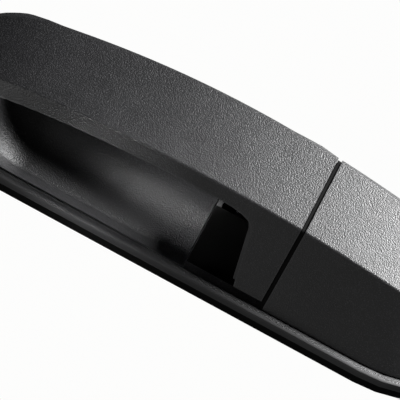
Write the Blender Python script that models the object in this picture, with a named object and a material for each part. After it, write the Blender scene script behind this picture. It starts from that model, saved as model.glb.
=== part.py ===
"""Exterior pull handle for a left-hand car door, as an assembly of separate pieces.

Millimetres in the script, metres in the scene. +X runs from the hinged end of the grip to the fixed end
cap, +Z is up on the car and -Y points out of the door. The door skin's outer face is the plane y = 0,
and the origin is the middle of the flange on that plane.
"""

import math

import bmesh
import bpy
from mathutils import Matrix, Vector

MM = 0.001

# Flange outline: a long slot shape with elliptical ends.
MID_Z = -2.5
FLANGE_HALF_HEIGHT = 32.5
FLANGE_STRAIGHT = 83.0
FLANGE_END = 42.0
LIP_WIDTH = 4.0
LIP_Y = -8.6
PLATE_FRONT_Y = -7.0
PLATE_BACK_Y = -4.9
GASKET_FRONT_Y = -4.6
GASKET_WIDTH = 2.6

# The bow: one arched outline shared by the grip strap and the end cap.
ARCH_CENTRE = 3.0
ARCH_HEIGHT = 46.0
ARCH_RADIUS = 390.0
TAIL_START = 80.0
TAIL_RADIUS = 110.0
NOSE_START = 98.0
NOSE_FLOOR = 8.0
FACE_TILT = 4.9
FACE_TOP = 0.852
FACE_TOP_TAPER = 0.11
CREASE = 0.354
CREASE_TAPER = 0.07
TAPER_LENGTH = 90.0
CHAMFER_DROP = 3.0
CHAMFER_WIDTH = 5.0
STRAP_FOOT = 9.8
PAD_H = 9.5
CAP_FOOT = 7.3
STRAP_START = -117.0
STRAP_END = 38.0
CAP_START = 39.8
REBATE_X = 36.9
REBATE_INSET = 1.2
SEAM_INSET = 0.6
CAP_END = 119.5
WALL = 2.6
GAP = 0.3

# Finger opening under the strap, seen along Z.
OPENING_START = -94.0
STRAP_DEPTH = 10.0
LEG_TOP_X = 21.8
LEG_TOP_H = 31.0
LEG_FOOT_X = 27.6

# Finger trough moulded in the base.
TROUGH_Z = -5.0
TROUGH_HALF = 23.5
TROUGH_DEPTH = 30.0
TROUGH_SLANT = 1.6
TROUGH_RAMP_START = -66.0
TROUGH_RAMP = 26.0
TROUGH_END = 5.6
TROUGH_WALL = 2.2
HOUSING_FRONT_Y = -4.6
POCKET = ((5.2, -27.0), (42.0, 17.0))

# Joint axes.
PIVOT_X = -111.0
PIVOT_Y = 7.0
LUG_Z = (-6.0, 4.0)
EAR_X = (-117.0, -105.0)
EAR_BACK_Y = 13.0
EAR_THICKNESS = 4.0
PIN_RADIUS = 1.95
CRANK_Y = 9.0
CRANK_Z = -11.0
FINGER_ANGLE = -25.0
WEIGHT_ANGLE = -80.0
WEIGHT_RADIUS = 11.5
OUTPUT_ANGLE = -50.0
OUTPUT_RADIUS = 20.0
HUB_X = (17.2, 53.4)
HUB_RADIUS = 5.0
SHAFT_RADIUS = 2.2
SHAFT_HOLE = 2.45
HOUSING_X = (6.0, 56.0)
HOUSING_WALL = 2.0
SPRING_X = (34.1, 39.5)
SPRING_TURNS = 4
SPRING_RADIUS = 6.4
SPRING_WIRE = 0.6
SPRING_START_ANGLE = 155.0
SPRING_SWEEP = 1505.0
STUD_END_Y = 23.0
STUD_RADIUS = 2.85
SCREW_HOLE = 1.6

# Hook tongue that reaches through the base.
TONGUE_Z = (9.0, 15.0)
WINDOW_X = (21.0, 33.6)
WINDOW_Y = (14.9, 24.5)
TONGUE_SCREW = (31.8, -9.0)
STRAP_SCREW = (-101.0, MID_Z)

STUDS = {"upper_front": (-101.0, 16.0), "lower_front": (-101.0, -18.0), "rear": (78.0, -2.0)}
CAP_SCREWS = {"front": (60.0, -2.0), "rear": (98.0, -2.0)}
HOUSING_SCREWS = {"upper": (61.0, 18.0), "lower": (61.0, -16.0), "front": (-1.0, 23.9)}

HUB_SEGMENTS = 24
ROD_SEGMENTS = 20


# ---------------------------------------------------------------- building blocks


def clear_scene():
    """Removes whatever the file holds."""
    for obj in list(bpy.data.objects):
        bpy.data.objects.remove(obj)


def finish(name, colour, roughness, metallic=0.0):
    """A material with one Principled BSDF."""
    material = bpy.data.materials.new(name)
    material.use_nodes = True
    shader = material.node_tree.nodes["Principled BSDF"]
    shader.inputs["Base Color"].default_value = (*colour, 1.0)
    shader.inputs["Roughness"].default_value = roughness
    shader.inputs["Metallic"].default_value = metallic
    return material


def mover(name, point, parent=None):
    """An empty on a joint's axis, which the pieces that move with it are parented to."""
    empty = bpy.data.objects.new(name, None)
    bpy.context.collection.objects.link(empty)
    empty["point"] = point
    offset = Vector(point)
    if parent:
        empty.parent = parent
        offset -= Vector(parent["point"])
    empty.location = offset * MM
    return empty


def piece(name, solid, material, parent=None):
    """Turns a bmesh in millimetres into a named object in metres."""
    if parent:
        bmesh.ops.translate(solid, vec=-Vector(parent["point"]), verts=solid.verts)
    bmesh.ops.scale(solid, vec=(MM, MM, MM), verts=solid.verts)
    mesh = bpy.data.meshes.new(name)
    solid.to_mesh(mesh)
    solid.free()
    mesh.materials.append(material)
    mesh.shade_smooth()
    mesh.set_sharp_from_angle(angle=math.radians(32))
    obj = bpy.data.objects.new(name, mesh)
    bpy.context.collection.objects.link(obj)
    obj.parent = parent
    return obj


def loft(rings):
    """A closed solid through rings of equal point counts, with flat ends."""
    solid = bmesh.new()
    loops = [[solid.verts.new(point) for point in ring] for ring in rings]
    for first, second in zip(loops, loops[1:]):
        for i in range(len(first)):
            j = (i + 1) % len(first)
            solid.faces.new((first[i], first[j], second[j], second[i]))
    solid.faces.new(loops[0])
    solid.faces.new(loops[-1])
    bmesh.ops.recalc_face_normals(solid, faces=solid.faces)
    return solid


def prism(outline, axis, low, high):
    """A flat outline pushed along one axis. The outline holds the other two coordinates, in X, Y, Z order."""

    def place(pair, along):
        coordinates = list(pair)
        coordinates.insert("XYZ".index(axis), along)
        return coordinates

    return loft([[place(pair, along) for pair in outline] for along in (low, high)])


def block(low, high):
    """A box between two corners."""
    solid = bmesh.new()
    size = Vector(high) - Vector(low)
    middle = (Vector(high) + Vector(low)) / 2
    bmesh.ops.create_cube(solid, size=1.0, matrix=Matrix.Translation(middle) @ Matrix.Diagonal((*size, 1.0)))
    return solid


def rod(start, end, radius, end_radius=None, segments=ROD_SEGMENTS):
    """A round bar or cone between two points."""
    start, end = Vector(start), Vector(end)
    turn = (end - start).to_track_quat("Z", "Y").to_matrix().to_4x4()
    solid = bmesh.new()
    bmesh.ops.create_cone(
        solid,
        cap_ends=True,
        segments=segments,
        radius1=radius,
        radius2=radius if end_radius is None else end_radius,
        depth=(end - start).length,
        matrix=Matrix.Translation((start + end) / 2) @ turn,
    )
    return solid


def wire(line, radius, sides=6):
    """A round wire along a line of points."""
    line = [Vector(point) for point in line]
    rings = []
    for i, point in enumerate(line):
        along = (line[min(i + 1, len(line) - 1)] - line[max(i - 1, 0)]).normalized()
        across = Vector((1, 0, 0)).cross(along).normalized()
        up = along.cross(across)
        rings.append([point + radius * (math.cos(a) * across + math.sin(a) * up) for a in circle(sides)])
    return loft(rings)


def combined(first, second, operation):
    """The Boolean of two solids, by Blender's modifier."""
    operands = []
    for solid in (first, second):
        mesh = bpy.data.meshes.new("operand")
        solid.to_mesh(mesh)
        solid.free()
        obj = bpy.data.objects.new("operand", mesh)
        bpy.context.collection.objects.link(obj)
        operands.append(obj)
    modifier = operands[0].modifiers.new("Boolean", "BOOLEAN")
    modifier.operation = operation
    modifier.object = operands[1]
    result = bmesh.new()
    result.from_object(operands[0], bpy.context.evaluated_depsgraph_get())
    for obj in operands:
        bpy.data.meshes.remove(obj.data)
    return result


def fuse(solid, *others):
    """The union of several solids."""
    for other in others:
        solid = combined(solid, other, "UNION")
    return solid


def cut(solid, *cutters):
    """A solid with each cutter taken out of it."""
    for cutter in cutters:
        solid = combined(solid, cutter, "DIFFERENCE")
    return solid


def rounded(corners, steps=3):
    """The outline through (a, b, radius) corners, each corner replaced by a short curve."""
    points = []
    for i, (a, b, radius) in enumerate(corners):
        corner = Vector((a, b))
        before = Vector(corners[i - 1][:2]) - corner
        after = Vector(corners[(i + 1) % len(corners)][:2]) - corner
        half_angle = before.angle(after) / 2
        reach = min(radius / math.tan(half_angle), 0.45 * before.length, 0.45 * after.length)
        start = corner + before.normalized() * reach
        end = corner + after.normalized() * reach
        for k in range(steps + 1):
            t = k / steps
            points.append((1 - t) ** 2 * start + 2 * t * (1 - t) * corner + t * t * end)
    return points


def turned(points, degrees):
    """(y, z) points turned about the X axis."""
    c, s = math.cos(math.radians(degrees)), math.sin(math.radians(degrees))
    return [(y * c - z * s, y * s + z * c) for y, z in points]


# ---------------------------------------------------------------- shared outlines


def half_height(x, inset):
    """Half the flange's height at x, for an outline moved inwards by inset."""
    reach = max(0.0, abs(x) - FLANGE_STRAIGHT) / (FLANGE_END - inset)
    return (FLANGE_HALF_HEIGHT - inset) * math.sqrt(max(0.0, 1.0 - reach * reach))


def flange_ring(inset, y, steps=14):
    """The flange's outline at depth y, moved inwards by inset."""
    ring = []
    for side in (1, -1):
        for k in range(steps + 1):
            angle = math.radians(-90 + 180 * k / steps)
            x = side * (FLANGE_STRAIGHT + (FLANGE_END - inset) * math.cos(angle))
            z = MID_Z + side * (FLANGE_HALF_HEIGHT - inset) * math.sin(angle)
            ring.append((x, y, z))
    return ring


def smooth_step(t):
    """0 to 1 with level ends."""
    t = min(1.0, max(0.0, t))
    return t * t * (3 - 2 * t)


def nose(x):
    """How far the bow still stands at x, from 1 down to 0 at its tips."""
    length = (CAP_END + 1.5 if x > 0 else -STRAP_START + 1.5) - NOSE_START
    reach = max(0.0, abs(x) - NOSE_START) / length
    return math.sqrt(max(0.0, 1.0 - reach * reach))


def face_height(x):
    """The bow's height over the door at the top edge of its front face."""
    along = x - ARCH_CENTRE
    tail = max(0.0, abs(along) - TAIL_START)
    height = ARCH_HEIGHT - along * along / (2 * ARCH_RADIUS) - tail * tail / (2 * TAIL_RADIUS)
    return NOSE_FLOOR + (height - NOSE_FLOOR) * nose(x)


def chamfer_share(x):
    """The upper chamfer's share of its full width at x: narrow along the grip, full at both ends."""
    return 0.15 + 0.85 * max(smooth_step((x - 18) / 22), smooth_step((-74 - x) / 24))


def bow_ring(x, inset, foot, steps=3):
    """The bow's cross-section at x, moved inwards by inset, down to a foot at that height."""
    half = half_height(x, LIP_WIDTH) - inset
    taper = ((x - ARCH_CENTRE) / TAPER_LENGTH) ** 2
    height = face_height(x) - inset
    share = chamfer_share(x)
    rise = min(1.0, (height - CAP_FOOT) / 12)
    top = MID_Z + half * (FACE_TOP - FACE_TOP_TAPER * taper)
    low = MID_Z - half * (CREASE - CREASE_TAPER * taper)
    upper_edge = (height - CHAMFER_DROP * share * rise, top + min(CHAMFER_WIDTH * share, 0.6 * (MID_Z + half - top)))
    lower_edge = (height - FACE_TILT * rise, low)

    def foot_of(edge, side_z):
        share_up = (foot - CAP_FOOT) / (edge[0] - CAP_FOOT)
        return side_z + (edge[1] - side_z) * share_up

    corners = [
        (-foot, foot_of(upper_edge, MID_Z + half), 0.6),
        (-upper_edge[0], upper_edge[1], 1.2),
        (-height, top, 1.2),
        (-lower_edge[0], lower_edge[1], 1.6),
        (-foot, foot_of(lower_edge, MID_Z - half), 0.6),
    ]
    return [(x, y, z) for y, z in rounded(corners, steps)]


def stations(start, end, step):
    """Places along X for a bow's sections, closer together in its noses."""
    places = [start]
    while places[-1] < end:
        reach = step if abs(places[-1]) < NOSE_START - step else step / 2.4
        places.append(min(end, places[-1] + reach))
    if places[-1] - places[-2] < 0.5:
        del places[-2]
    return places


def bow(start, end, inset, foot, step=6.0):
    """The bow as a solid between two places along X."""
    return loft([bow_ring(x, inset, foot) for x in stations(start, end, step)])


def opening_cutter(margin):
    """What the finger opening takes out of the strap; margin leaves that much more material round it."""
    roof = [(x, -(face_height(x) - STRAP_DEPTH - margin)) for x in range(-84, 7, 6)]
    start = OPENING_START + margin
    first_y = roof[0][1]
    corner = [(start, -2.0), (start, first_y + 9), (start + 1.5, first_y + 4.5), (start + 4.5, first_y + 1.2)]
    last = Vector(roof[-1])
    bend = Vector((LEG_TOP_X - 1.5 - margin, last.y))
    leg = Vector((LEG_TOP_X - margin, -LEG_TOP_H + margin))
    curve = [(1 - t) ** 2 * last + 2 * t * (1 - t) * bend + t * t * leg for t in (0.2, 0.4, 0.6, 0.8, 1.0)]
    foot = (LEG_FOOT_X - margin, -2.0)
    return prism([*corner, *roof, *curve, foot], "Z", -60, 60)


# ---------------------------------------------------------------- base and its fixed pieces


def trough_ring(x, grow, top_y):
    """The finger trough's cross-section at x, from top_y down into the door."""
    reach = max(0.0, TROUGH_RAMP_START - x) / TROUGH_RAMP
    share = math.sqrt(max(0.02, 1.0 - reach * reach))
    half = TROUGH_HALF * (0.72 + 0.28 * share) + grow
    depth = TROUGH_DEPTH * share + grow
    ring = [(x, top_y, TROUGH_Z + half)]
    for k in range(15):
        angle = math.radians(6 + 168 * k / 14)
        across = math.cos(angle) if angle < math.pi / 2 else -abs(math.cos(angle)) ** TROUGH_SLANT
        ring.append((x, PLATE_FRONT_Y + depth * math.sin(angle) ** 0.8, TROUGH_Z + half * across))
    edge = TROUGH_Z - half
    if top_y < PLATE_FRONT_Y:
        ring += [(x, PLATE_FRONT_Y + 3.2, edge), (x, PLATE_FRONT_Y + 1.0, edge - 0.7), (x, PLATE_FRONT_Y, edge - 1.8), (x, top_y, edge - 1.9)]
    else:
        ring.append((x, top_y, edge))
    return ring


def trough(grow, top_y, end):
    """The trough as a solid: the space in it, or with grow its outer skin."""
    ramp = [TROUGH_RAMP_START - TROUGH_RAMP * math.sin(math.radians(a)) for a in (82, 70, 58, 46, 34, 22, 10)]
    places = [*ramp, TROUGH_RAMP_START, -40.0, -12.0, end]
    return loft([trough_ring(x, grow, top_y) for x in places])


def base_housing(material):
    """Flange, finger trough, leg pocket, hinge ears and stud bosses in one moulding."""
    plate = loft(
        [
            flange_ring(0.0, PLATE_BACK_Y),
            flange_ring(0.0, LIP_Y + 1.1),
            flange_ring(0.4, LIP_Y + 0.3),
            flange_ring(1.2, LIP_Y),
            flange_ring(LIP_WIDTH - 1.4, LIP_Y),
            flange_ring(LIP_WIDTH - 0.5, LIP_Y + 0.5),
            flange_ring(LIP_WIDTH - 0.2, PLATE_FRONT_Y),
        ]
    )
    ears = [
        block((EAR_X[0], PLATE_BACK_Y - 0.6, low), (EAR_X[1], EAR_BACK_Y, low + EAR_THICKNESS))
        for low in (LUG_Z[0] - EAR_THICKNESS - 1.6, LUG_Z[1] + 1.6)
    ]
    bosses = [rod((x, PLATE_BACK_Y - 0.5, z), (x, 2, z), 5.5) for x, z in STUDS.values()]
    solid = fuse(plate, trough(TROUGH_WALL, PLATE_BACK_Y - 1.0, TROUGH_END), *ears, *bosses)
    (low_x, low_z), (high_x, high_z) = POCKET
    solid = cut(
        solid,
        trough(0.0, -14.0, TROUGH_END + 0.4),
        block((low_x, -12, low_z), (high_x, -2, high_z)),
        block((EAR_X[0] - 2, -12, LUG_Z[0] - 1.2), (EAR_X[1] - 0.5, -2, LUG_Z[1] + 1.2)),
        rod((PIVOT_X, PIVOT_Y, -20), (PIVOT_X, PIVOT_Y, 20), PIN_RADIUS + 0.2),
    )
    solid = cut(solid, *[rod((x, -5.9, z), (x, 4, z), 3.15) for x, z in STUDS.values()])
    solid = cut(solid, *[rod((x, -12, z), (x, 0, z), 1.8) for x, z in CAP_SCREWS.values()])
    solid = cut(solid, *[rod((x, -6.3, z), (x, 0, z), 1.5) for x, z in HOUSING_SCREWS.values()])
    return piece("base_housing", solid, material)


def flange_gasket(material):
    """The rubber ring between the flange and the door skin."""
    outer = loft([flange_ring(0.2, GASKET_FRONT_Y), flange_ring(0.2, 0.0)])
    inner = loft([flange_ring(0.2 + GASKET_WIDTH, GASKET_FRONT_Y - 3), flange_ring(0.2 + GASKET_WIDTH, 3.0)])
    return piece("flange_gasket", cut(outer, inner), material)


def end_cap(material):
    """The fixed cap that carries the strap's lines on, hollow, with two screw bosses and a land under the seam."""
    shell = cut(
        bow(CAP_START, CAP_END, 0.0, CAP_FOOT),
        bow(CAP_START + WALL, CAP_END - 4.5, WALL, CAP_FOOT - 3),
    )
    bosses = [rod((x, -CAP_FOOT, z), (x, 6.5 - face_height(x), z), 4.0) for x, z in CAP_SCREWS.values()]
    holes = [rod((x, 0, z), (x, -20, z), SCREW_HOLE) for x, z in CAP_SCREWS.values()]
    land = bow(REBATE_X + 0.4, CAP_START + 1.0, REBATE_INSET + GAP, CAP_FOOT)
    seam_floor = bow(STRAP_END + GAP, CAP_START + 0.8, SEAM_INSET, CAP_FOOT)
    return piece("end_cap", cut(fuse(shell, land, seam_floor, *bosses), *holes), material)


def pan_screw(name, x, z, seat_y, length, material, head=2.9, shank=1.3, parent=None):
    """A screw driven towards -Y, with a cross recess in its head."""
    solid = fuse(
        rod((x, seat_y, z), (x, seat_y + 1.9, z), head, head * 0.8),
        rod((x, seat_y + 0.5, z), (x, seat_y - length, z), shank, shank * 0.8, segments=12),
    )
    arms = [
        block((x - 1.5, seat_y + 0.9, z - 0.3), (x + 1.5, seat_y + 3, z + 0.3)),
        block((x - 0.3, seat_y + 0.9, z - 1.5), (x + 0.3, seat_y + 3, z + 1.5)),
    ]
    return piece(name, cut(solid, *arms), material, parent)


def mounting_stud(name, x, z, material):
    """A stud set in a boss of the base, with a chamfered end."""
    profile = [(-5.6, STUD_RADIUS), (STUD_END_Y - 1.0, STUD_RADIUS), (STUD_END_Y, STUD_RADIUS - 0.55)]
    rings = [[(x + r * math.cos(a), y, z + r * math.sin(a)) for a in circle(ROD_SEGMENTS)] for y, r in profile]
    return piece(name, loft(rings), material)


def circle(segments):
    """Angles round a circle."""
    return [2 * math.pi * k / segments for k in range(segments)]


def flange_nut(name, x, z, material):
    """A hexagon nut with a washer face, just inside the door's inner skin."""
    hexagon = [(x + 5.6 * math.cos(a), z + 5.6 * math.sin(a)) for a in circle(6)]
    solid = fuse(prism(hexagon, "Y", 4.0, 9.0), rod((x, 3.0, z), (x, 4.4, z), 7.0))
    return piece(name, cut(solid, rod((x, 1, z), (x, 12, z), 3.15)), material)


def mechanism_housing(material):
    """The box behind the pocket that carries the bellcrank, with a way out below for the latch rod."""
    front, tab = HOUSING_FRONT_Y, HOUSING_FRONT_Y + 1.9
    side = [(front, -29.5), (5.5, -29.5), (33.5, -9.8), (33.5, 26.5), (front, 26.5)]
    room = [(-12.0, -27.4), (4.8, -27.4), (31.5, -8.6), (31.5, 24.5), (-12.0, 24.5)]
    ear = [(3.6, -18.0), (15.0, -18.0), (15.0, -5.0), (32.4, 9.0), (32.4, 25.4), (3.6, 25.4)]
    solid = fuse(
        cut(
            prism(side, "X", *HOUSING_X),
            prism(room, "X", HOUSING_X[0] + HOUSING_WALL, HOUSING_X[1] - HOUSING_WALL),
            block((45.0, 8.0, -40.0), (53.0, 30.0, -5.0)),
        ),
        prism(ear, "X", 14.0, 16.5),
        block((2.0, front + 0.2, 24.7), (7.0, 33.2, 26.2)),
        block((2.1, 31.8, -9.0), (7.1, 33.1, 25.5)),
        block((55.0, front + 0.1, 12.0), (66.0, tab, 24.0)),
        block((55.0, front + 0.1, -22.0), (66.0, tab, -10.0)),
        block((-5.0, front + 0.1, 21.4), (7.2, tab, 26.0)),
    )
    solid = cut(solid, block((5.0, -12.0, -28.2), (9.0, 1.4, 20.0)))
    holes = [rod((x, -8, z), (x, 3, z), SCREW_HOLE) for x, z in HOUSING_SCREWS.values()]
    shaft_hole = rod((12, CRANK_Y, CRANK_Z), (60, CRANK_Y, CRANK_Z), SHAFT_HOLE)
    return piece("mechanism_housing", cut(solid, shaft_hole, *holes), material)


def pocket_shield(material):
    """The sheet that keeps dirt out of the housing, with room for the tongue and the bellcrank's finger."""
    sheet = [(6.0, -27.1), (53.7, -27.1), (53.7, -5.5), (26.4, -5.5), (26.4, 7.0), (6.0, 7.0)]
    return piece("pocket_shield", prism(sheet, "Y", -0.4, 1.1), material)


# ---------------------------------------------------------------- grip strap


def strap_shell(material, parent):
    """The outer skin of the grip, with its leg and foot, open at the back."""
    solid = cut(
        bow(STRAP_START, STRAP_END, 0.0, STRAP_FOOT),
        bow(STRAP_START + WALL, STRAP_END - WALL, WALL, STRAP_FOOT - 4),
        opening_cutter(0.0),
        bow(REBATE_X, STRAP_END + 2.0, REBATE_INSET, 0.0),
    )
    return piece("strap_shell", solid, material, parent)


def strap_liner(material, parent):
    """The core that fills the skin, with the hinge lug on its foot."""
    inset = WALL + 2 * GAP
    core = cut(bow(STRAP_START + inset, STRAP_END - inset, inset, STRAP_FOOT), opening_cutter(1.4))
    lug = fuse(
        block((PIVOT_X - 2.9, -STRAP_FOOT - 1, LUG_Z[0]), (PIVOT_X + 4, PIVOT_Y, LUG_Z[1])),
        rod((PIVOT_X, PIVOT_Y, LUG_Z[0]), (PIVOT_X, PIVOT_Y, LUG_Z[1]), 4.6),
    )
    solid = cut(
        fuse(core, lug),
        rod((PIVOT_X, PIVOT_Y, -20), (PIVOT_X, PIVOT_Y, 20), 3.3),
        *[rod((x, 0, z), (x, depth, z), SCREW_HOLE) for (x, z), depth in ((STRAP_SCREW, -19.5), (TONGUE_SCREW, -22))],
    )
    return piece("strap_liner", solid, material, parent)


def hook_tongue(material, parent):
    """The steel tongue under the leg, whose window takes the bellcrank's finger."""
    neck_x, head_x = (27.0, 36.4), (18.0, 36.4)
    outline = [
        (neck_x[0], -PAD_H), (neck_x[1], -PAD_H), (head_x[1], 26.5), (head_x[1] - 2, 28.5),
        (head_x[0] + 2, 28.5), (head_x[0], 26.5), (head_x[0], 11.0), (neck_x[0], 8.0),
    ]
    solid = fuse(prism(outline, "Z", *TONGUE_Z), block((neck_x[0], -PAD_H, -14), (neck_x[1] - 0.2, 2 - PAD_H, 14.5)))
    solid = cut(
        solid,
        block((WINDOW_X[0], WINDOW_Y[0], 0), (WINDOW_X[1], WINDOW_Y[1], 30)),
        rod((TONGUE_SCREW[0], -12, TONGUE_SCREW[1]), (TONGUE_SCREW[0], 0, TONGUE_SCREW[1]), SCREW_HOLE),
    )
    return piece("hook_tongue", solid, material, parent)


def pivot_bush(name, low, high, flange_low, material, parent):
    """A flanged bush in the hinge lug."""
    solid = fuse(
        rod((PIVOT_X, PIVOT_Y, low), (PIVOT_X, PIVOT_Y, high), 3.05),
        rod((PIVOT_X, PIVOT_Y, flange_low), (PIVOT_X, PIVOT_Y, flange_low + 0.9), 4.2),
    )
    return piece(name, cut(solid, rod((PIVOT_X, PIVOT_Y, -20), (PIVOT_X, PIVOT_Y, 20), PIN_RADIUS + 0.25)), material, parent)


def pivot_pin(material):
    """The headed pin that the strap turns on."""
    solid = fuse(
        rod((PIVOT_X, PIVOT_Y, -14.6), (PIVOT_X, PIVOT_Y, 10.4), PIN_RADIUS),
        rod((PIVOT_X, PIVOT_Y, 10.0), (PIVOT_X, PIVOT_Y, 11.6), 3.4, 2.8),
    )
    groove = cut(
        rod((PIVOT_X, PIVOT_Y, -13.2), (PIVOT_X, PIVOT_Y, -12.2), 4.0),
        rod((PIVOT_X, PIVOT_Y, -15.0), (PIVOT_X, PIVOT_Y, -10.0), 1.5),
    )
    return piece("pivot_pin", cut(solid, groove), material)


def snap_ring(inner, outer, mouth, steps=18):
    """A C-shaped outline about (0, 0), open towards +a."""
    angles = [math.radians(mouth + (360 - 2 * mouth) * k / steps) for k in range(steps + 1)]
    outside = [(outer * math.cos(a), outer * math.sin(a)) for a in angles]
    inside = [(inner * math.cos(a), inner * math.sin(a)) for a in reversed(angles)]
    return outside + inside


# ---------------------------------------------------------------- bellcrank


def at_crank(points, degrees=0.0):
    """(y, z) points about the bellcrank's axis, turned and moved to it."""
    return [(CRANK_Y + y, CRANK_Z + z) for y, z in turned(points, degrees)]


def bar(half_width, length, tip_steps=5):
    """An arm's outline from the axis towards +Z, with a round tip."""
    tip = length - half_width
    points = [(half_width, 0.0)]
    for k in range(tip_steps + 1):
        angle = math.pi * k / tip_steps
        points.append((half_width * math.cos(angle), tip + half_width * math.sin(angle)))
    return [*points, (-half_width, 0.0)]


def on_arm(radius, degrees):
    """The (y, z) of a point that far out on an arm at that angle."""
    return at_crank([(0.0, radius)], degrees)[0]


def bellcrank(material, parent):
    """Hub, finger, weight ring and output arm of the die-cast lever."""
    weight_y, weight_z = on_arm(WEIGHT_RADIUS, WEIGHT_ANGLE)
    out_y, out_z = on_arm(OUTPUT_RADIUS, OUTPUT_ANGLE)
    solid = fuse(
        rod((HUB_X[0], CRANK_Y, CRANK_Z), (HUB_X[1], CRANK_Y, CRANK_Z), HUB_RADIUS, segments=HUB_SEGMENTS),
        prism(at_crank(bar(2.5, 30.0), FINGER_ANGLE), "X", 27.5, 32.5),
        prism(at_crank(bar(3.0, 10.0), WEIGHT_ANGLE), "X", 18.4, 26.0),
        rod((18.0, weight_y, weight_z), (26.4, weight_y, weight_z), 5.2),
        prism(at_crank(bar(3.9, 23.9, 8), OUTPUT_ANGLE), "X", 42.0, 45.0),
    )
    solid = cut(
        solid,
        rod((10, CRANK_Y, CRANK_Z), (60, CRANK_Y, CRANK_Z), SHAFT_HOLE, segments=HUB_SEGMENTS),
        rod((16, weight_y, weight_z), (28, weight_y, weight_z), 4.2),
        rod((40, out_y, out_z), (48, out_y, out_z), 1.95),
    )
    return piece("bellcrank", solid, material, parent)


def counterweight(material, parent):
    """The steel slug pressed in the bellcrank's ring."""
    y, z = on_arm(WEIGHT_RADIUS, WEIGHT_ANGLE)
    solid = fuse(rod((17.7, y, z), (26.8, y, z), 3.85), rod((17.5, y, z), (18.3, y, z), 3.4))
    return piece("counterweight", solid, material, parent)


def bellcrank_shaft(material):
    """The headed shaft through the housing."""
    solid = fuse(
        rod((12.4, CRANK_Y, CRANK_Z), (59.6, CRANK_Y, CRANK_Z), SHAFT_RADIUS, segments=HUB_SEGMENTS),
        rod((11.6, CRANK_Y, CRANK_Z), (13.4, CRANK_Y, CRANK_Z), 3.2, 3.8, segments=HUB_SEGMENTS),
    )
    groove = cut(
        rod((57.0, CRANK_Y, CRANK_Z), (58.2, CRANK_Y, CRANK_Z), 4.0),
        rod((56.0, CRANK_Y, CRANK_Z), (60.0, CRANK_Y, CRANK_Z), 1.6),
    )
    return piece("bellcrank_shaft", cut(solid, groove), material)


def shaft_clip(material):
    """The snap ring in the shaft's groove."""
    outline = [(CRANK_Y + a, CRANK_Z + b) for a, b in snap_ring(1.85, 4.4, 38)]
    return piece("shaft_clip", prism(outline, "X", 57.25, 57.95), material)


def pivot_clip(material):
    """The snap ring under the hinge pin."""
    outline = [(PIVOT_X + a, PIVOT_Y + b) for a, b in snap_ring(1.75, 4.0, 38)]
    return piece("pivot_clip", prism(outline, "Z", -13.0, -12.4), material)


def return_spring(material):
    """A torsion spring round the hub, with one leg on the finger and one under the roof."""
    low_x, high_x = SPRING_X
    count = SPRING_TURNS * 14
    points = []
    for k in range(count + 1):
        angle = math.radians(SPRING_START_ANGLE - SPRING_SWEEP * k / count)
        x = low_x + (high_x - low_x) * k / count
        points.append((x, CRANK_Y + SPRING_RADIUS * math.cos(angle), CRANK_Z + SPRING_RADIUS * math.sin(angle)))
    finger = at_crank([(-3.4, 17.0)], FINGER_ANGLE)[0]
    first = (low_x, *finger)
    last = (high_x, 30.9, CRANK_Z + SPRING_RADIUS)
    return piece("return_spring", wire([first, *points, last], SPRING_WIRE), material)


def rod_clip(material, parent):
    """The swivelling clip that takes the latch rod."""
    y, z = on_arm(OUTPUT_RADIUS, OUTPUT_ANGLE)
    solid = fuse(
        block((45.4, y - 3.4, z - 6.5), (51.4, y + 3.4, z + 3.6)),
        rod((41.0, y, z), (46.0, y, z), 1.6),
        rod((40.7, y, z), (41.6, y, z), 1.7, 2.3),
    )
    channel = block((46.9, y - 0.5, z - 12), (49.9, y + 6, z + 8))
    return piece("rod_clip", cut(solid, channel), material, parent)


def overslam_bumper(material):
    """The rubber stop under the strap's free end."""
    solid = fuse(
        rod((30.0, -7.3, 21.6), (30.0, -8.9, 21.6), 3.0),
        rod((30.0, -8.7, 21.6), (30.0, -PAD_H, 21.6), 2.7, 1.9),
    )
    return piece("overslam_bumper", solid, material)


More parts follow.
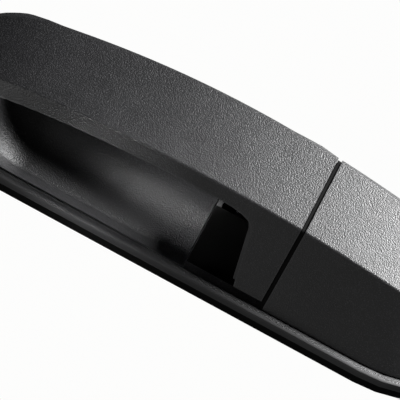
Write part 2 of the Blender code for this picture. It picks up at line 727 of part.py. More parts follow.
def main():
    """Builds every piece in place."""
    clear_scene()
    grained = finish("grained_plastic", (0.035, 0.035, 0.037), 0.55)
    satin = finish("satin_plastic", (0.03, 0.03, 0.031), 0.45)
    carrier = finish("carrier_plastic", (0.045, 0.045, 0.047), 0.5)
    rubber = finish("black_rubber", (0.012, 0.012, 0.012), 0.8)
    zinc = finish("cast_zinc", (0.52, 0.53, 0.54), 0.42, 1.0)
    steel = finish("plated_steel", (0.62, 0.62, 0.6), 0.3, 1.0)
    spring_steel = finish("spring_steel", (0.3, 0.3, 0.31), 0.32, 1.0)
    acetal = finish("natural_acetal", (0.78, 0.76, 0.68), 0.4)

    strap_axis = mover("strap_axis", (PIVOT_X, PIVOT_Y, MID_Z))
    crank_axis = mover("crank_axis", (36.0, CRANK_Y, CRANK_Z))
    clip_axis = mover("clip_axis", (48.0, *on_arm(OUTPUT_RADIUS, OUTPUT_ANGLE)), crank_axis)

    base_housing(grained)
    flange_gasket(rubber)
    end_cap(grained)
    mechanism_housing(carrier)
    overslam_bumper(rubber)
    pocket_shield(rubber)
    pivot_pin(steel)
    pivot_clip(spring_steel)
    for end, (x, z) in CAP_SCREWS.items():
        pan_screw(f"end_cap_screw_{end}", x, z, PLATE_BACK_Y + 0.3, 12.0, steel)
    for end, (x, z) in HOUSING_SCREWS.items():
        pan_screw(f"housing_screw_{end}", x, z, HOUSING_FRONT_Y + 2.2, 3.9, steel, head=2.3, shank=1.15)
    for end, (x, z) in STUDS.items():
        mounting_stud(f"stud_{end}", x, z, steel)
        flange_nut(f"nut_{end}", x, z, steel)

    strap_shell(grained, strap_axis)
    strap_liner(satin, strap_axis)
    hook_tongue(steel, strap_axis)
    pan_screw("tongue_screw", *TONGUE_SCREW, 2.3 - PAD_H, 12.0, steel, parent=strap_axis)
    pan_screw("strap_screw", *STRAP_SCREW, -PAD_H, 8.5, steel, head=2.7, parent=strap_axis)
    pivot_bush("pivot_bush_upper", -0.7, 5.2, 4.3, acetal, strap_axis)
    pivot_bush("pivot_bush_lower", -7.2, -1.3, -7.2, acetal, strap_axis)

    bellcrank_shaft(steel)
    shaft_clip(spring_steel)
    return_spring(spring_steel)
    bellcrank(zinc, crank_axis)
    counterweight(steel, crank_axis)
    rod_clip(acetal, clip_axis)


main()
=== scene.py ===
"""Looks of an exterior pull handle for a car door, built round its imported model.

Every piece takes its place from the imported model. Sizes are in metres and
angles in degrees; the camera's lens is in millimetres, as the camera takes it.
"""

from __future__ import annotations

import logging
import math
from dataclasses import dataclass, field
from enum import Enum
from typing import Iterable, Union

import bmesh
import bpy
from mathutils import Matrix, Vector

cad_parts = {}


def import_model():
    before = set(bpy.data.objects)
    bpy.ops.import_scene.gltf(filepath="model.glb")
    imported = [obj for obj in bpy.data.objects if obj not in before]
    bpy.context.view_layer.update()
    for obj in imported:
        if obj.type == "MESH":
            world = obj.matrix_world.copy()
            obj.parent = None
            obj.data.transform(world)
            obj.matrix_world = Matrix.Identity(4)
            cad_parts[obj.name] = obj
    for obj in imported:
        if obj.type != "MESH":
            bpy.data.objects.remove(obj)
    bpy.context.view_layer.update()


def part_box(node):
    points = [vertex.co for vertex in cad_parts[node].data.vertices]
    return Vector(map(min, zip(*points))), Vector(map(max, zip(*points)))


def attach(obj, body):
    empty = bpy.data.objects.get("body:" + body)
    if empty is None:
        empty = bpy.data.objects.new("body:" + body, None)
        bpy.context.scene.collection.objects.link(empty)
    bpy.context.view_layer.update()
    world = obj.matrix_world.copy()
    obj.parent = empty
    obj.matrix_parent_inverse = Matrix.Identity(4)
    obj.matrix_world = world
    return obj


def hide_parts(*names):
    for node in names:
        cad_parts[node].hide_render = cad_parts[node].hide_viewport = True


LOG = logging.getLogger("door_handle")
MM = 0.001
WELD_GAP = 0.002 * MM
FLAT_ANGLE = 0.6

Amount = Union["Field", float]
Colour = tuple[float, float, float]


# ---------------------------------------------------------------- shader maths


class Field:
    """A number, colour or vector that varies over a surface, with arithmetic."""

    def __init__(self, tree: "FinishTree", socket: bpy.types.NodeSocket) -> None:
        """Wraps one output socket.

        Args:
            tree: The finish that the socket belongs to.
            socket: The output socket.
        """
        self.tree = tree
        self.socket = socket

    def _math(self, operation: str, *values: Amount) -> "Field":
        """Adds a Math node.

        Args:
            operation: The node's operation.
            values: Its inputs in order.

        Returns:
            The node's result.
        """
        return self.tree.add("ShaderNodeMath", {"operation": operation}, dict(enumerate(values)))

    def __add__(self, other: Amount) -> "Field":
        """The sum."""
        return self._math("ADD", self, other)

    __radd__ = __add__

    def __sub__(self, other: Amount) -> "Field":
        """The difference."""
        return self._math("SUBTRACT", self, other)

    def __rsub__(self, other: Amount) -> "Field":
        """The difference from a plain number."""
        return self._math("SUBTRACT", other, self)

    def __mul__(self, other: Amount) -> "Field":
        """The product."""
        return self._math("MULTIPLY", self, other)

    __rmul__ = __mul__

    def over(self, low: float, high: float) -> "Field":
        """A soft step that is 0 below low and 1 above high.

        Args:
            low: Where the step starts.
            high: Where it is complete.

        Returns:
            The step.
        """
        settings = {"interpolation_type": "SMOOTHSTEP"}
        inputs = {"Value": self, "From Min": low, "From Max": high}
        return self.tree.add("ShaderNodeMapRange", settings, inputs)


class FinishTree:
    """One material's node tree, with a Principled shader at its end."""

    def __init__(self, name: str) -> None:
        """Starts an empty material.

        Args:
            name: The material's name.
        """
        self.material = bpy.data.materials.new(name)
        self.material.use_nodes = True
        self.nodes = self.material.node_tree.nodes
        self.links = self.material.node_tree.links
        self.nodes.clear()
        self.shader = self.nodes.new("ShaderNodeBsdfPrincipled")
        output = self.nodes.new("ShaderNodeOutputMaterial")
        self.links.new(self.shader.outputs["BSDF"], output.inputs["Surface"])

    def _feed(self, socket: bpy.types.NodeSocket, value: object) -> None:
        """Links a field to a socket, or writes a constant to it.

        Args:
            socket: The input socket.
            value: A Field or a constant.
        """
        if isinstance(value, Field):
            self.links.new(value.socket, socket)
        elif socket.type == "RGBA":
            socket.default_value = (*value[:3], 1.0)
        else:
            socket.default_value = value

    def add(self, kind: str, settings: dict, inputs: dict, output: Union[int, str] = 0) -> Field:
        """Adds any node.

        Args:
            kind: The node's type.
            settings: Its properties, set first.
            inputs: Values or fields by socket name or index.
            output: Which output to hand back.

        Returns:
            That output.
        """
        node = self.nodes.new(kind)
        for name, value in settings.items():
            setattr(node, name, value)
        for name, value in inputs.items():
            self._feed(node.inputs[name], value)
        return Field(self, node.outputs[output])

    def place(self, stretch: tuple[float, float, float] = (1.0, 1.0, 1.0), turn: float = 0.0) -> Field:
        """The piece's own coordinates, stretched and turned about Z.

        Args:
            stretch: Scale along each axis.
            turn: Turn in degrees.

        Returns:
            The coordinates.
        """
        own = self.add("ShaderNodeTexCoord", {}, {}, "Object")
        settings = {"Vector": own, "Scale": stretch, "Rotation": (0.0, 0.0, math.radians(turn))}
        return self.add("ShaderNodeMapping", {}, settings)

    def noise(self, spacing: float, detail: float = 3.0, place: Field | None = None) -> Field:
        """Cloudy noise from 0 to 1.

        Args:
            spacing: The size of one cloud.
            detail: Octaves of finer noise.
            place: Coordinates; the piece's own by default.

        Returns:
            The noise.
        """
        inputs = {
            "Vector": place or self.place(),
            "Scale": 1.0 / spacing,
            "Detail": detail,
            "Roughness": 0.55,
        }
        return self.add("ShaderNodeTexNoise", {}, inputs)

    def cells(self, spacing: float, feature: str = "SMOOTH_F1") -> Field:
        """Distance inside cells.

        Args:
            spacing: The distance between cell centres.
            feature: The Voronoi feature.

        Returns:
            The distance.
        """
        inputs = {"Vector": self.place(), "Scale": 1.0 / spacing}
        if feature == "SMOOTH_F1":
            inputs["Smoothness"] = 0.35
        return self.add("ShaderNodeTexVoronoi", {"feature": feature}, inputs, "Distance")

    def blend(self, amount: Amount, first: object, second: object) -> Field:
        """A mix of two colours.

        Args:
            amount: 0 for the first, 1 for the second.
            first: A colour or field.
            second: A colour or field.

        Returns:
            The mixed colour.
        """
        values = {0: amount, 6: first, 7: second}
        return self.add("ShaderNodeMix", {"data_type": "RGBA"}, values, 2)

    def edges(self, radius: float) -> Field:
        """How near a surface is to an outward or inward edge, from 0 to 1.

        Args:
            radius: The reach from the edge.

        Returns:
            The nearness.
        """
        softened = self.add("ShaderNodeBevel", {"samples": 4}, {"Radius": radius})
        flat = self.add("ShaderNodeNewGeometry", {}, {}, "Normal")
        normals = {0: softened, 1: flat}
        agreement = self.add("ShaderNodeVectorMath", {"operation": "DOT_PRODUCT"}, normals, "Value")
        return (1.0 - agreement).over(0.004, 0.12)

    def relief(self, height: Field, depth: float, strength: float) -> Field:
        """A bumped normal.

        Args:
            height: The height, from 0 to 1.
            depth: The real depth of a height of 1.
            strength: The bump's strength.

        Returns:
            The normal.
        """
        inputs = {"Height": height, "Distance": depth, "Strength": strength}
        return self.add("ShaderNodeBump", {}, inputs)

    def surface(self, **sockets: object) -> bpy.types.Material:
        """Feeds the Principled shader and hands the material back.

        Args:
            sockets: Values by socket name, with underscores for spaces.

        Returns:
            The finished material.
        """
        for name, value in sockets.items():
            self._feed(self.shader.inputs[name.replace("_", " ")], value)
        return self.material


# ---------------------------------------------------------------- finishes


@dataclass(frozen=True)
class GrainedPlastic:
    """Black moulded plastic with a leather-like pebble grain, whose pebble peaks carry a painted highlight.
    """

    name: str = "grained_black_plastic"
    shade: Colour = (0.0070, 0.0070, 0.0078)
    wear_and_highlight: Colour = (0.085, 0.085, 0.089)
    pebble: float = 0.50 * MM
    depth: float = 0.15 * MM
    gloss: float = 0.40
    edge_reach: float = 0.9 * MM
    speckle: float = 0.20 * MM
    drift: float = 2.6 * MM
    cloud_size: float = 16.0 * MM
    dust_spacing: float = 7.5 * MM
    dust_patch: float = 9.0 * MM
    dust_weight: float = 0.35
    dust_shade: Colour = (0.30, 0.30, 0.29)
    sheen_drift: float = 5.0 * MM
    peak_highlight: float = 0.55
    edge_wear: float = 0.25
    bump: float = 0.9

    def make(self) -> bpy.types.Material:
        """Builds the material.

        Returns:
            The material.
        """
        tree = FinishTree(self.name)
        wander = tree.noise(self.drift, 2.0)
        pebbles = tree.cells(self.pebble)
        wrinkles = tree.cells(self.pebble * 1.9, "DISTANCE_TO_EDGE")
        fine = tree.noise(self.speckle, 2.0)
        edge = tree.edges(self.edge_reach)
        flat = 1.0 - edge
        grain = (1.0 - pebbles) * 0.80 + wrinkles.over(0.0, 0.22) * 0.12 + fine * 0.12 + wander * 0.06
        height = grain * flat
        peaks = (1.0 - pebbles).over(0.62, 0.95)
        cloud = tree.noise(self.cloud_size, 4.0)
        # Lighter pebble peaks are a painted highlight standing in for glints off the grain; the cloud adds
        # a faint random tone, and worn edges blend to the same light tone.
        colour = tree.blend(peaks * self.peak_highlight + cloud.over(0.45, 0.8) * 0.05, self.shade, self.wear_and_highlight)
        colour = tree.blend(edge * self.edge_wear, colour, self.wear_and_highlight)
        specks = tree.cells(self.dust_spacing, "F1")
        dust = (1.0 - specks.over(0.02, 0.045)) * tree.noise(self.dust_patch, 1.0).over(0.56, 0.6)
        colour = tree.blend(dust * self.dust_weight, colour, self.dust_shade)
        rough = self.gloss + peaks * -0.05 + tree.noise(self.sheen_drift, 3.0) * 0.10 + edge * -0.06
        return tree.surface(
            Base_Color=colour,
            Roughness=rough,
            Specular_IOR_Level=0.5,
            Normal=tree.relief(height, self.depth, self.bump),
        )


@dataclass(frozen=True)
class SatinPlastic:
    """Plain moulded plastic with a spark-eroded satin surface."""

    name: str = "satin_black_plastic"
    shade: Colour = (0.016, 0.016, 0.017)
    rubbed: Colour = (0.040, 0.040, 0.041)
    gloss: float = 0.40
    depth: float = 0.02 * MM
    speckle: float = 0.22 * MM
    flow_size: float = 11.0 * MM
    scratch_size: float = 0.5 * MM
    scratch_turn: float = 12.0
    edge_reach: float = 0.5 * MM
    bump: float = 0.8

    def make(self) -> bpy.types.Material:
        """Builds the material.

        Returns:
            The material.
        """
        tree = FinishTree(self.name)
        fine = tree.noise(self.speckle, 3.0)
        flow = tree.noise(self.flow_size, 4.0, tree.place((0.25, 1.0, 1.0)))
        slant = tree.place((0.05, 1.0, 1.0), self.scratch_turn)
        scratches = tree.noise(self.scratch_size, 2.0, slant).over(0.62, 0.70)
        edge = tree.edges(self.edge_reach)
        colour = tree.blend(flow.over(0.4, 0.75) * 0.5 + edge * 0.5, self.shade, self.rubbed)
        rough = self.gloss + fine * 0.10 + flow * 0.10 + scratches * 0.06
        height = fine * 0.8 + scratches * -0.25 + flow * 0.2
        return tree.surface(
            Base_Color=colour,
            Roughness=rough,
            Specular_IOR_Level=0.5,
            Normal=tree.relief(height, self.depth, self.bump),
        )


@dataclass(frozen=True)
class Rubber:
    """Soft black rubber with a dull bloom."""

    name: str = "soft_black_rubber"
    shade: Colour = (0.0015, 0.0015, 0.0015)
    bloom: Colour = (0.004, 0.004, 0.0038)
    cloud_size: float = 6.0 * MM
    speckle: float = 0.3 * MM
    gloss: float = 0.66
    depth: float = 0.03 * MM
    bump: float = 0.7

    def make(self) -> bpy.types.Material:
        """Builds the material.

        Returns:
            The material.
        """
        tree = FinishTree(self.name)
        cloud = tree.noise(self.cloud_size, 4.0)
        fine = tree.noise(self.speckle, 3.0)
        colour = tree.blend(cloud.over(0.4, 0.8) * 0.6 + fine * 0.15, self.shade, self.bloom)
        return tree.surface(
            Base_Color=colour,
            Roughness=self.gloss + cloud * 0.16,
            Specular_IOR_Level=0.08,
            Normal=tree.relief(fine, self.depth, self.bump),
        )


@dataclass(frozen=True)
class PlatedMetal:
    """A metal with fine turning marks, cloudy plating and rubbed edges."""

    name: str
    shade: Colour
    stain: Colour
    gloss: float
    grain: tuple[float, float, float] = (1.0, 1.0, 1.0)
    pitting: float = 0.015 * MM
    cloud_size: float = 3.5 * MM
    brush_size: float = 0.18 * MM
    pit_spacing: float = 0.7 * MM
    edge_reach: float = 0.35 * MM
    bare: Colour = (0.82, 0.82, 0.80)
    bump: float = 0.8

    def make(self) -> bpy.types.Material:
        """Builds the material.

        Returns:
            The material.
        """
        tree = FinishTree(self.name)
        cloud = tree.noise(self.cloud_size, 4.0)
        brushed = tree.noise(self.brush_size, 3.0, tree.place(self.grain))
        pits = tree.cells(self.pit_spacing, "F1").over(0.05, 0.3)
        edge = tree.edges(self.edge_reach)
        colour = tree.blend(cloud.over(0.35, 0.75) * 0.6, self.shade, self.stain)
        colour = tree.blend(edge * 0.5, colour, self.bare)
        return tree.surface(
            Base_Color=colour,
            Metallic=1.0,
            Roughness=self.gloss + cloud * 0.12 + brushed * 0.14 + edge * -0.08,
            Normal=tree.relief(brushed * 0.6 + pits * 0.4, self.pitting, self.bump),
        )


@dataclass(frozen=True)
class Acetal:
    """Natural white bearing plastic."""

    name: str = "natural_white_acetal"
    shade: Colour = (0.74, 0.72, 0.64)
    grubby: Colour = (0.45, 0.42, 0.35)
    cloud_size: float = 3.0 * MM
    speckle: float = 0.3 * MM
    edge_reach: float = 0.4 * MM
    gloss: float = 0.38
    depth: float = 0.015 * MM
    bump: float = 0.6

    def make(self) -> bpy.types.Material:
        """Builds the material.

        Returns:
            The material.
        """
        tree = FinishTree(self.name)
        cloud = tree.noise(self.cloud_size, 4.0)
        edge = tree.edges(self.edge_reach)
        colour = tree.blend(cloud.over(0.5, 0.85) * 0.4 + edge * 0.15, self.shade, self.grubby)
        return tree.surface(
            Base_Color=colour,
            Roughness=self.gloss + cloud * 0.14,
            Subsurface_Weight=0.12,
            Subsurface_Radius=(0.0012, 0.0010, 0.0008),
            Normal=tree.relief(tree.noise(self.speckle, 2.0), self.depth, self.bump),
        )


class Slot(Enum):
    """The record's material slots."""

    GRAINED = "grained_plastic"
    SATIN = "satin_plastic"
    CARRIER = "carrier_plastic"
    RUBBER = "black_rubber"
    ZINC = "cast_zinc"
    STEEL = "plated_steel"
    SPRING = "spring_steel"
    ACETAL = "natural_acetal"


FINISHES = {
    Slot.GRAINED: GrainedPlastic(),
    Slot.SATIN: SatinPlastic(),
    Slot.CARRIER: SatinPlastic(
        name="carrier_black_plastic",
        shade=(0.012, 0.012, 0.013),
        rubbed=(0.03, 0.03, 0.03),
        gloss=0.50,
        depth=0.04 * MM,
    ),
    Slot.RUBBER: Rubber(),
    Slot.ZINC: PlatedMetal(
        name="die_cast_zinc",
        shade=(0.40, 0.41, 0.43),
        stain=(0.27, 0.28, 0.30),
        gloss=0.38,
        pitting=0.05 * MM,
    ),
    Slot.STEEL: PlatedMetal(
        name="zinc_plated_steel",
        shade=(0.62, 0.62, 0.60),
        stain=(0.50, 0.47, 0.40),
        gloss=0.24,
        grain=(0.1, 1.0, 1.0),
    ),
    Slot.SPRING: PlatedMetal(
        name="oiled_spring_steel",
        shade=(0.26, 0.26, 0.27),
        stain=(0.15, 0.14, 0.14),
        gloss=0.30,
        grain=(0.2, 1.0, 1.0),
    ),
    Slot.ACETAL: Acetal(),
}


class Paintshop:
    """Makes each finish once and hands it out."""

    def __init__(self) -> None:
        """Starts with nothing made."""
        self._made: dict[Slot, bpy.types.Material] = {}

    def of(self, slot: Slot) -> bpy.types.Material:
        """Hands out a slot's material, made on its first use.

        Args:
            slot: The slot.

        Returns:
            The material.
        """
        if slot not in self._made:
            self._made[slot] = FINISHES[slot].make()
        return self._made[slot]


# ---------------------------------------------------------------- pieces


def welded(node: str) -> bmesh.types.BMesh:
    """A CAD node's mesh as one connected skin with its flat faces whole.

    Args:
        node: The node's name.

    Returns:
        The mesh.
    """
    skin = bmesh.new()
    skin.from_mesh(bpy.data.objects[node].data)
    bmesh.ops.remove_doubles(skin, verts=skin.verts, dist=WELD_GAP)
    bmesh.ops.dissolve_limit(skin, angle_limit=math.radians(FLAT_ANGLE), verts=skin.verts, edges=skin.edges)
    return skin


def rounded(
    skin: bmesh.types.BMesh,
    width: float,
    sharper_than: float = 34.0,
    segments: int = 3,
) -> None:
    """Rounds a skin's sharp edges.

    Args:
        skin: The mesh, changed in place.
        width: The width of the rounding.
        sharper_than: The least angle of a sharp edge, in degrees.
        segments: Steps across the rounding.
    """
    limit = math.radians(sharper_than)
    sharp = [e for e in skin.edges if e.is_manifold and e.calc_face_angle(0.0) > limit]
    bmesh.ops.bevel(
        skin,
        geom=sharp,
        offset=width,
        offset_type="OFFSET",
        segments=segments,
        profile=0.5,
        affect="EDGES",
        clamp_overlap=True,
        material=-1,
    )


@dataclass
class Workshop:
    """Finishes pieces: dresses them, sets them on a body and reports them."""

    paint: Paintshop = field(default_factory=Paintshop)

    def piece(
        self,
        name: str,
        skin: bmesh.types.BMesh,
        slot: Slot,
        body: str,
        nodes: Iterable[str] = (),
        more: Iterable[Slot] = (),
        crease: float = 40.0,
    ) -> bpy.types.Object:
        """Turns a skin into a finished piece.

        Args:
            name: The piece's name.
            skin: Its mesh, used up.
            slot: The record's slot of its main finish.
            body: The body that it rides on.
            nodes: The CAD nodes it stands for.
            more: Slots of its other finishes, by material index from 1.
            crease: The angle past which an edge looks sharp, in degrees.

        Returns:
            The object.
        """
        mesh = bpy.data.meshes.new(name)
        skin.to_mesh(mesh)
        skin.free()
        for each in (slot, *more):
            mesh.materials.append(self.paint.of(each))
        mesh.shade_smooth()
        mesh.set_sharp_from_angle(angle=math.radians(crease))
        obj = bpy.data.objects.new(name, mesh)
        bpy.context.scene.collection.objects.link(obj)
        evened = obj.modifiers.new("evened", "WEIGHTED_NORMAL")
        evened.keep_sharp = True
        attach(obj, body)
        if nodes:
            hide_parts(*nodes)
        LOG.info("%s: %d faces on %s", name, len(mesh.polygons), body)
        return obj

    def refine(
        self,
        node: str,
        slot: Slot,
        body: str,
        width: float,
        crease: float = 40.0,
    ) -> bpy.types.Object:
        """Stands a rounded copy in a CAD node's place.

        Args:
            node: The node.
            slot: Its finish.
            body: The body that it rides on.
            width: The width of the rounding.
            crease: The angle past which an edge looks sharp, in degrees.

        Returns:
            The object.
        """
        skin = welded(node)
        rounded(skin, width)
        return self.piece(f"{node}_skin", skin, slot, body, [node], crease=crease)


def turned_bar(
    profile: list[tuple[float, float]],
    centre: tuple[float, float],
    segments: int = 40,
) -> bmesh.types.BMesh:
    """A full spin of a profile about an axis that runs along Y.

    Args:
        profile: Radius and Y of each point, from one end of the bar to the other.
        centre: The X and Z of the axis.
        segments: Steps round the bar.

    Returns:
        The mesh.
    """
    skin = bmesh.new()
    axis = Vector((centre[0], 0.0, centre[1]))
    points = [skin.verts.new(axis + Vector((radius, y, 0.0))) for radius, y in profile]
    lines = [skin.edges.new(pair) for pair in zip(points, points[1:])]
    bmesh.ops.spin(
        skin,
        geom=[*points, *lines],
        cent=axis,
        axis=(0.0, 1.0, 0.0),
        angle=math.tau,
        steps=segments,
        use_merge=True,
    )
    bmesh.ops.remove_doubles(skin, verts=skin.verts, dist=WELD_GAP)
    bmesh.ops.recalc_face_normals(skin, faces=skin.faces)
    return skin


@dataclass
class GripStrap:
    """The hinged grip: its grained skin, satin core, steel tongue, screws and bushes."""

    edge: float = 0.75 * MM
    core_edge: float = 0.4 * MM
    tongue_edge: float = 0.35 * MM
    screw_edge: float = 0.15 * MM
    bush_edge: float = 0.2 * MM

    def build(self, shop: Workshop) -> None:
        """Builds the grip.

        Args:
            shop: Where its pieces are finished.
        """
        shop.refine("strap_shell", Slot.GRAINED, "grip", self.edge)
        shop.refine("strap_liner", Slot.SATIN, "grip", self.core_edge)
        shop.refine("hook_tongue", Slot.STEEL, "grip", self.tongue_edge)
        for screw in ("tongue_screw", "strap_screw"):
            shop.refine(screw, Slot.STEEL, "grip", self.screw_edge)
        for bush in ("pivot_bush_upper", "pivot_bush_lower"):
            shop.refine(bush, Slot.ACETAL, "grip", self.bush_edge)


@dataclass
class FlangedBase:
    """The moulding with the flange, the finger trough and the hinge ears, on its rubber ring."""

    edge: float = 0.35 * MM
    lip_inset: float = 4.3 * MM
    straight: float = 83.0 * MM
    end_reach: float = 42.0 * MM
    half_height: float = 32.5 * MM
    middle: float = -2.5 * MM
    ring_edge: float = 0.5 * MM
    stop_edge: float = 0.2 * MM
    shield_edge: float = 0.3 * MM

    def _on_lip(self, place: Vector) -> bool:
        """Tells whether a point is on the flange's smooth rim.

        Args:
            place: The point.

        Returns:
            Whether it is on the rim.
        """
        along = max(0.0, abs(place.x) - self.straight) / (self.end_reach - self.lip_inset)
        across = abs(place.z - self.middle) / (self.half_height - self.lip_inset)
        return math.hypot(along, across) > 1.0

    def build(self, shop: Workshop) -> None:
        """Builds the base and its ring.

        Args:
            shop: Where its pieces are finished.
        """
        skin = welded("base_housing")
        rounded(skin, self.edge)
        for face in skin.faces:
            face.material_index = 1 if self._on_lip(face.calc_center_median()) else 0
        shop.piece("base_housing_skin", skin, Slot.GRAINED, "base", ["base_housing"], [Slot.SATIN])
        shop.refine("flange_gasket", Slot.RUBBER, "base", self.ring_edge)
        shop.refine("overslam_bumper", Slot.RUBBER, "base", self.stop_edge)
        # The pocket shield is a dark rubber sheet that paints the shade inside the pocket behind the
        # trough.
        shop.refine("pocket_shield", Slot.RUBBER, "base", self.shield_edge)


@dataclass
class EndCap:
    """The fixed cap beside the grip, with its screws."""

    edge: float = 0.6 * MM
    painted_shade_land_end: float = 39.72 * MM
    screw_edge: float = 0.15 * MM

    def build(self, shop: Workshop) -> None:
        """Builds the cap, whose land under the seam gets black rubber as painted shade in the seam.

        Args:
            shop: Where its pieces are finished.
        """
        skin = welded("end_cap")
        rounded(skin, self.edge)
        for face in skin.faces:
            # The land's faces get black rubber: painted shade where the seam between grip and cap lies in
            # shadow.
            face.material_index = 1 if face.calc_center_median().x < self.painted_shade_land_end else 0
        shop.piece("end_cap_skin", skin, Slot.GRAINED, "base", ["end_cap"], [Slot.RUBBER])
        for end in ("front", "rear"):
            shop.refine(f"end_cap_screw_{end}", Slot.STEEL, "base", self.screw_edge)


@dataclass
class Mechanism:
    """What works behind the door skin: housing, bellcrank, weight, spring, shaft and rod clip."""

    housing_edge: float = 0.5 * MM
    lever_edge: float = 0.3 * MM
    clip_edge: float = 0.35 * MM
    shaft_edge: float = 0.2 * MM
    ring_edge: float = 0.1 * MM
    wire_edge: float = 0.05 * MM
    wire_crease: float = 70.0

    def build(self, shop: Workshop) -> None:
        """Builds the mechanism.

        Args:
            shop: Where its pieces are finished.
        """
        shop.refine("mechanism_housing", Slot.CARRIER, "base", self.housing_edge)
        shop.refine("bellcrank", Slot.ZINC, "crank", self.lever_edge)
        shop.refine("counterweight", Slot.STEEL, "crank", self.lever_edge)
        shop.refine("rod_clip", Slot.ACETAL, "clip", self.clip_edge)
        shop.refine("bellcrank_shaft", Slot.STEEL, "base", self.shaft_edge)
        shop.refine("shaft_clip", Slot.SPRING, "base", self.ring_edge)
        shop.refine("return_spring", Slot.SPRING, "base", self.wire_edge, self.wire_crease)


@dataclass
class Fixings:
    """Threaded studs, nuts, housing screws and the hinge pin."""

    pitch: float = 1.0 * MM
    crest: float = 2.85 * MM
    root: float = 2.35 * MM
    point: float = 2.2 * MM
    shank_start: float = -5.6 * MM
    thread_start: float = 2.0 * MM
    stud_end: float = 23.0 * MM
    nut_edge: float = 0.35 * MM
    screw_edge: float = 0.12 * MM
    pin_edge: float = 0.2 * MM
    ring_edge: float = 0.1 * MM

    def _threaded(self) -> list[tuple[float, float]]:
        """A stud's profile: plain shank, rolled thread and flat point.

        Returns:
            Radius and Y of each point.
        """
        profile = [
            (0.0, self.shank_start),
            (self.crest, self.shank_start),
            (self.crest, self.thread_start),
        ]
        turn = self.thread_start
        while turn + self.pitch < self.stud_end - self.pitch:
            steps = ((self.root, 0.30), (self.root, 0.42), (self.crest, 0.80), (self.crest, 1.0))
            profile += [(radius, turn + share * self.pitch) for radius, share in steps]
            turn += self.pitch
        return [*profile, (self.point, self.stud_end), (0.0, self.stud_end)]

    def build(self, shop: Workshop) -> None:
        """Builds the fixings.

        Args:
            shop: Where its pieces are finished.
        """
        for end in ("upper_front", "lower_front", "rear"):
            low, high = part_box(f"stud_{end}")
            middle = (Vector(low) + Vector(high)) / 2
            skin = turned_bar(self._threaded(), (middle.x, middle.z))
            shop.piece(f"stud_{end}_threaded", skin, Slot.STEEL, "base", [f"stud_{end}"])
            shop.refine(f"nut_{end}", Slot.STEEL, "base", self.nut_edge)
        for end in ("upper", "lower", "front"):
            shop.refine(f"housing_screw_{end}", Slot.STEEL, "base", self.screw_edge)
        shop.refine("pivot_pin", Slot.STEEL, "base", self.pin_edge)
        shop.refine("pivot_clip", Slot.SPRING, "base", self.ring_edge)


# ---------------------------------------------------------------- studio


@dataclass
class Lamp:
    """A soft rectangular light aimed at the handle."""

    name: str
    place: tuple[float, float, float]
    size: tuple[float, float]
    power: float
    aim: tuple[float, float, float] = (0.0, 0.0, 0.0)
    cone: float = 180.0

    def build(self) -> None:
        """Sets the light up."""
        data = bpy.data.lights.new(self.name, "AREA")
        data.shape = "RECTANGLE"
        data.size, data.size_y = self.size
        data.energy = self.power
        data.spread = math.radians(self.cone)
        lamp = bpy.data.objects.new(self.name, data)
        bpy.context.scene.collection.objects.link(lamp)
        lamp.location = self.place
        ahead = Vector(self.aim) - Vector(self.place)
        lamp.rotation_euler = ahead.to_track_quat("-Z", "Y").to_euler()
        lamp.visible_camera = False


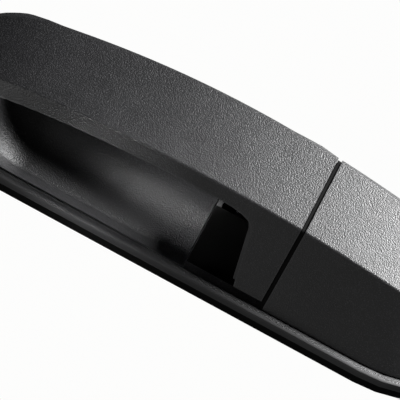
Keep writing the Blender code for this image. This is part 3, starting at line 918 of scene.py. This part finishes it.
@dataclass
class Studio:
    """Floor, background, lights and camera."""

    floor_drop: float = 2.6
    floor_radius: float = 4.0
    elevation: float = -35.0
    roll: float = 28.5
    field: float = 153.8 * MM
    lens: float = 280.0
    centre: tuple[float, float] = (-0.5 * MM, 4.5 * MM)
    floor_tones: tuple[Colour, Colour] = ((0.72, 0.72, 0.71), (0.78, 0.78, 0.77))
    floor_cloud: float = 0.4
    backdrop: float = 0.98
    ambience: float = 0.020
    lamps: tuple[Lamp, ...] = (
        Lamp("key", (0.74, -0.84, 0.70), (0.45, 0.36), 74.0),
        Lamp("top", (0.30, 0.12, 1.1), (0.8, 0.4), 4.0),
        Lamp("back", (0.45, 1.10, 0.30), (0.6, 0.4), 20.0),
        Lamp("low", (-0.75, -0.50, -0.80), (0.4, 0.4), 3.5),
        Lamp(
            "trough_fill",
            (-0.16, -0.16, -0.17),
            (0.02, 0.02),
            0.010,
            aim=(-0.006, 0.014, 0.008),
            cone=14.0,
        ),
    )

    def _floor(self) -> None:
        """A pale disc far below the handle."""
        disc = bmesh.new()
        bmesh.ops.create_circle(disc, cap_ends=True, segments=96, radius=self.floor_radius)
        bmesh.ops.translate(disc, vec=(0.0, 0.0, -self.floor_drop), verts=disc.verts)
        mesh = bpy.data.meshes.new("floor")
        disc.to_mesh(mesh)
        disc.free()
        tree = FinishTree("pale_floor")
        tone = tree.blend(tree.noise(self.floor_cloud, 3.0), *self.floor_tones)
        mesh.materials.append(tree.surface(Base_Color=tone, Roughness=0.9))
        floor = bpy.data.objects.new("floor", mesh)
        bpy.context.scene.collection.objects.link(floor)

    def _background(self) -> None:
        """A white background that lights the handle only dimly."""
        world = bpy.data.worlds.new("studio")
        bpy.context.scene.world = world
        world.use_nodes = True
        nodes, links = world.node_tree.nodes, world.node_tree.links
        nodes.clear()
        seen, lighting = nodes.new("ShaderNodeBackground"), nodes.new("ShaderNodeBackground")
        seen.inputs["Color"].default_value = (1.0, 1.0, 0.995, 1.0)
        seen.inputs["Strength"].default_value = self.backdrop
        lighting.inputs["Color"].default_value = (0.95, 0.97, 1.0, 1.0)
        lighting.inputs["Strength"].default_value = self.ambience
        kinds = ("LightPath", "MixShader", "OutputWorld")
        path, mix, output = (nodes.new(f"ShaderNode{kind}") for kind in kinds)
        links.new(path.outputs["Is Camera Ray"], mix.inputs[0])
        links.new(lighting.outputs[0], mix.inputs[1])
        links.new(seen.outputs[0], mix.inputs[2])
        links.new(mix.outputs[0], output.inputs["Surface"])

    def _camera(self) -> None:
        """A long lens outside and below the handle, rolled so that the grip runs down to the right."""
        tilt, roll = math.radians(-self.elevation), math.radians(self.roll)
        ahead = Vector((0.0, math.cos(tilt), math.sin(tilt)))
        level_up = Vector((0.0, -math.sin(tilt), math.cos(tilt)))
        right = Vector((math.cos(roll), 0.0, 0.0)) + level_up * math.sin(roll)
        up = Vector((-math.sin(roll), 0.0, 0.0)) + level_up * math.cos(roll)
        data = bpy.data.cameras.new("camera")
        data.lens = self.lens
        distance = self.field * data.lens / data.sensor_width
        data.clip_start, data.clip_end = 0.05, 20.0
        camera = bpy.data.objects.new("camera", data)
        bpy.context.scene.collection.objects.link(camera)
        facing = Matrix((right, up, -ahead)).transposed().to_4x4()
        aim = Vector((self.centre[0], 0.0, 0.0)) + level_up * self.centre[1]
        camera.matrix_world = Matrix.Translation(aim - ahead * distance) @ facing
        bpy.context.scene.camera = camera

    def build(self) -> None:
        """Sets the studio up."""
        self._floor()
        self._background()
        self._camera()
        for lamp in self.lamps:
            lamp.build()
        bpy.context.scene.view_settings.view_transform = "Standard"


def main() -> None:
    """Builds every sub-assembly, then the studio."""
    logging.basicConfig(level=logging.INFO, format="%(name)s: %(message)s")
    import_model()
    shop = Workshop()
    for assembly in (FlangedBase(), GripStrap(), EndCap(), Mechanism(), Fixings()):
        assembly.build(shop)
    Studio().build()


if __name__ == "__main__":
    main()
